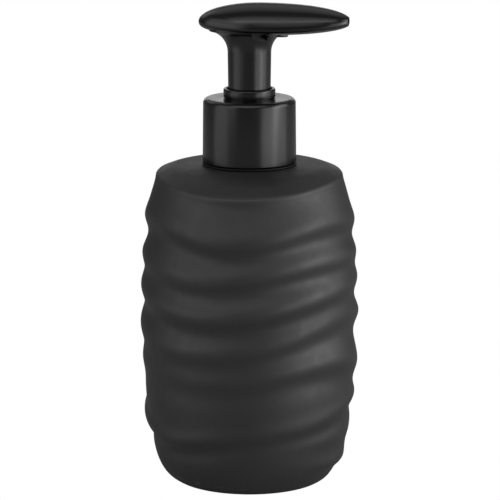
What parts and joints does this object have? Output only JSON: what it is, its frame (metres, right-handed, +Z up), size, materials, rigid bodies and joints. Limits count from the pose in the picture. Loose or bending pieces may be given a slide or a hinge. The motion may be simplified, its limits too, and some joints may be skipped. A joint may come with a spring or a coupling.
{
  "type": "soap pump dispenser",
  "caption": "Barrel-shaped ceramic soap dispenser with a wandering ribbed surface and a screw-on lotion pump with a long pebble-shaped head.",
  "frame": {"origin": "centre of the base pad's underside, on the bottle's axis, in the plane that the dispenser stands on", "axes": "+Z up along the bottle's and pump's axis, +X towards the spout's tip, -Y the side that the dispenser is seen from"},
  "size_m": [0.0767, 0.078, 0.1726],
  "materials": {
    "ceramic": "matt glaze, soft to the touch",
    "satin_black": "satin moulded",
    "milky_pp": "translucent natural polypropylene",
    "white_pe": "moulded",
    "pad": "fine foam",
    "steel": "drawn wire"
  },
  "bodies": {
    "bottle": {"bottle_body": "ceramic", "base_pad": "pad", "neck_insert": "satin_black"},
    "pump": {"pump_chamber": "milky_pp", "locking_collar": "satin_black", "closure_gasket": "white_pe", "dip_tube": "milky_pp", "return_spring": "steel"},
    "cap": {"closure": "satin_black"},
    "plunger": {"plunger_stem": "milky_pp", "piston_rod": "white_pe"},
    "piston": {"piston": "white_pe"},
    "inlet_ball": {"inlet_ball": "steel"},
    "head": {"head_base": "satin_black", "head_cover": "satin_black", "spout_channel": "milky_pp", "nozzle_insert": "satin_black"}
  },
  "joints": [
    {"name": "pump_lift", "type": "slide", "parent": "bottle", "child": "pump", "axis": [0, 0, 1], "range_m": [0, 0.00741]},
    {"name": "cap_turn", "type": "hinge", "parent": "pump", "child": "cap", "pos_m": [0, 0, 0.127], "axis": [0, 0, 1], "range_deg": [0, 630]},
    {"name": "pump_press", "type": "slide", "parent": "pump", "child": "plunger", "axis": [0, 0, -1], "range_m": [0, 0.013], "stiffness_N_per_m": 600, "springref_m": -0.006, "deforming": ["return_spring"]},
    {"name": "head_turn", "type": "hinge", "parent": "plunger", "child": "head", "pos_m": [0, 0, 0.155], "axis": [0, 0, 1], "continuous": true},
    {"name": "piston_lag", "type": "slide", "parent": "plunger", "child": "piston", "axis": [0, 0, 1], "range_m": [0, 0.0012]},
    {"name": "inlet_ball_lift", "type": "slide", "parent": "pump", "child": "inlet_ball", "axis": [0, 0, 1], "range_m": [0, 0.002]}
  ],
  "couplings": [
    {"joint": "pump_lift", "follows": "cap_turn", "m_per_rad": 0.00067375}
  ]
}
